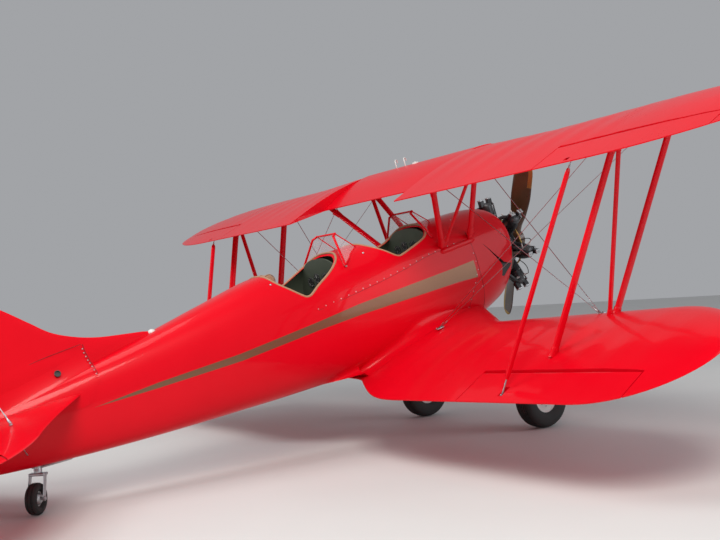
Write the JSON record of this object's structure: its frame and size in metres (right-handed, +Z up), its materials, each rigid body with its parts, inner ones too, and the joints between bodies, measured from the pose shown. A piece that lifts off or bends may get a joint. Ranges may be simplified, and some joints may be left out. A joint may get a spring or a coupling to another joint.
{
  "type": "biplane",
  "caption": "Open-cockpit training biplane with staggered wings, braced struts, radial engine, wooden-style propeller and tail wheel, parked tail down.",
  "frame": {"origin": "centre of the bounding box, on the floor under the wheels", "axes": "+X forward over the nose, +Y to the aircraft's left, +Z up; the airframe stands nose up by 13.5 degrees on its tail wheel"},
  "size_m": [6.9688, 8.8254, 2.7509],
  "materials": {
    "red_paint": "gloss",
    "engine_black": "satin",
    "steel": "satin",
    "rubber": "matt",
    "leather": "satin",
    "interior": "matt",
    "glass": "clear"
  },
  "bodies": {
    "airframe": {"fuselage": "red_paint", "nose_cowl": "red_paint", "wing_centre_section": "red_paint", "fin": "red_paint", "upper_wing_left": "red_paint", "lower_wing_left": "red_paint", "interplane_strut_left": "red_paint", "cabane_left": "red_paint", "gear_leg_left": "red_paint", "stabilizer_left": "red_paint", "landing_wires_left": "steel", "flying_wires_left": "steel", "tail_wires_left": "steel", "upper_wing_right": "red_paint", "lower_wing_right": "red_paint", "interplane_strut_right": "red_paint", "cabane_right": "red_paint", "gear_leg_right": "red_paint", "stabilizer_right": "red_paint", "landing_wires_right": "steel", "flying_wires_right": "steel", "tail_wires_right": "steel", "engine": "engine_black", "exhaust": "steel", "tail_spring": "steel", "headrest": "leather", "front_seat": "leather", "rear_seat": "leather", "front_panel": "interior", "rear_panel": "interior", "front_windscreen_glass": "glass", "front_windscreen_frame": "red_paint", "rear_windscreen_glass": "glass", "rear_windscreen_frame": "red_paint"},
    "propeller": {"propeller": "engine_black"},
    "rudder": {"rudder": "red_paint"},
    "elevators": {"elevator_left": "red_paint", "elevator_right": "red_paint"},
    "tail_fork": {"tail_fork": "steel"},
    "tail_wheel": {"tail_wheel": "rubber"},
    "main_wheel_left": {"main_tyre_left": "rubber", "main_hub_left": "steel"},
    "upper_aileron_left": {"upper_aileron_left": "red_paint"},
    "lower_aileron_left": {"lower_aileron_left": "red_paint"},
    "aileron_strut_left": {"aileron_strut_left": "red_paint"},
    "main_wheel_right": {"main_tyre_right": "rubber", "main_hub_right": "steel"},
    "upper_aileron_right": {"upper_aileron_right": "red_paint"},
    "lower_aileron_right": {"lower_aileron_right": "red_paint"},
    "aileron_strut_right": {"aileron_strut_right": "red_paint"}
  },
  "joints": [
    {"name": "propeller_spin", "type": "hinge", "parent": "airframe", "child": "propeller", "pos_m": [3.31582, 0, 1.88616], "axis": [0.9724, 0, 0.2334], "continuous": true},
    {"name": "rudder_hinge", "type": "hinge", "parent": "airframe", "child": "rudder", "pos_m": [-2.73955, 0, 0.95688], "axis": [-0.2334, 0, 0.9724], "range_deg": [-28, 28]},
    {"name": "elevator_hinge", "type": "hinge", "parent": "airframe", "child": "elevators", "pos_m": [-2.54116, 0, 0.64456], "axis": [0, 1, 0], "range_deg": [-24, 28]},
    {"name": "tail_swivel", "type": "hinge", "parent": "airframe", "child": "tail_fork", "pos_m": [-1.95637, 0, 0.3], "axis": [0, 0, 1], "continuous": true},
    {"name": "tail_wheel_spin", "type": "hinge", "parent": "tail_fork", "child": "tail_wheel", "pos_m": [-1.99879, -0.05056, 0.12], "axis": [-0.766, 0.6428, 0], "continuous": true},
    {"name": "main_wheel_left_spin", "type": "hinge", "parent": "airframe", "child": "main_wheel_left", "pos_m": [2.55869, 0.9, 0.285], "axis": [0, 1, 0], "continuous": true},
    {"name": "upper_aileron_left_hinge", "type": "hinge", "parent": "airframe", "child": "upper_aileron_left", "pos_m": [1.28337, 3.2, 2.35005], "axis": [-0.0012, 1, 0.0049], "range_deg": [-22, 22]},
    {"name": "lower_aileron_left_hinge", "type": "hinge", "parent": "airframe", "child": "lower_aileron_left", "pos_m": [0.7987, 2.6, 0.74062], "axis": [-0.0077, 0.9995, 0.0321], "range_deg": [-22, 22]},
    {"name": "aileron_strut_left_pivot", "type": "hinge", "parent": "lower_aileron_left", "child": "aileron_strut_left", "pos_m": [0.59356, 2.45, 0.64411], "axis": [-0.0077, 0.9995, 0.0321], "range_deg": [-22, 22]},
    {"name": "main_wheel_right_spin", "type": "hinge", "parent": "airframe", "child": "main_wheel_right", "pos_m": [2.55869, -0.9, 0.285], "axis": [0, 1, 0], "continuous": true},
    {"name": "upper_aileron_right_hinge", "type": "hinge", "parent": "airframe", "child": "upper_aileron_right", "pos_m": [1.28337, -3.2, 2.35005], "axis": [0.0012, 1, -0.0049], "range_deg": [-22, 22]},
    {"name": "lower_aileron_right_hinge", "type": "hinge", "parent": "airframe", "child": "lower_aileron_right", "pos_m": [0.7987, -2.6, 0.74062], "axis": [0.0077, 0.9995, -0.0321], "range_deg": [-22, 22]},
    {"name": "aileron_strut_right_pivot", "type": "hinge", "parent": "lower_aileron_right", "child": "aileron_strut_right", "pos_m": [0.59356, -2.45, 0.64411], "axis": [0.0077, 0.9995, -0.0321], "range_deg": [-22, 22]}
  ],
  "couplings": [
    {"joint": "upper_aileron_left_hinge", "follows": "lower_aileron_left_hinge", "ratio": 1},
    {"joint": "lower_aileron_right_hinge", "follows": "lower_aileron_left_hinge", "ratio": -1},
    {"joint": "upper_aileron_right_hinge", "follows": "lower_aileron_left_hinge", "ratio": -1},
    {"joint": "aileron_strut_left_pivot", "follows": "lower_aileron_left_hinge", "ratio": -1},
    {"joint": "aileron_strut_right_pivot", "follows": "lower_aileron_left_hinge", "ratio": 1}
  ]
}
